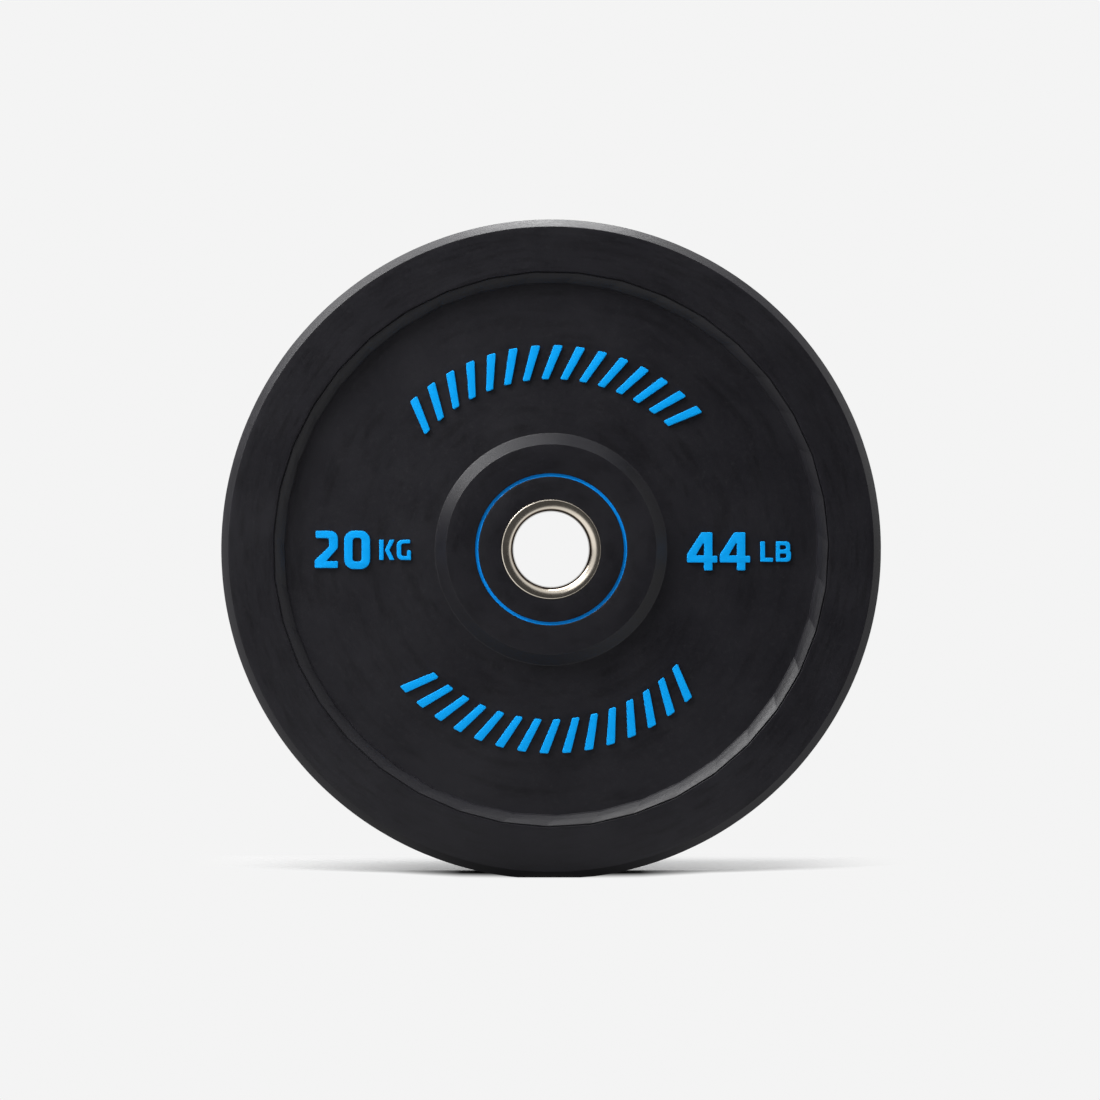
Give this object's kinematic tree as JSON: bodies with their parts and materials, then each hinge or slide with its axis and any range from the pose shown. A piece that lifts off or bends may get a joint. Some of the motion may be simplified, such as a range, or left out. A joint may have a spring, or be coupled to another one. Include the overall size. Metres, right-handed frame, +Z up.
{
  "type": "bumper plate",
  "caption": "Round black rubber barbell weight plate, recessed on both faces, with a steel-lined centre bore and a thin blue ring round the hub.",
  "frame": {"origin": "middle of the plate: on the axis of the bore, halfway between the two faces", "axes": "the axis of the bore runs along Y, the face that the picture shows is towards -Y, and +Z is up, with the plate standing on its tread"},
  "size_m": [0.4494, 0.081, 0.4481],
  "materials": {
    "black_rubber": "matte",
    "stainless_steel": "satin",
    "plain_steel": "satin",
    "blue_rubber": "matte"
  },
  "bodies": {
    "root": {"rubber_body": "black_rubber", "bore_sleeve": "stainless_steel", "anchor_flange": "plain_steel", "hub_ring_front": "blue_rubber", "hub_ring_rear": "blue_rubber"}
  },
  "joints": []
}
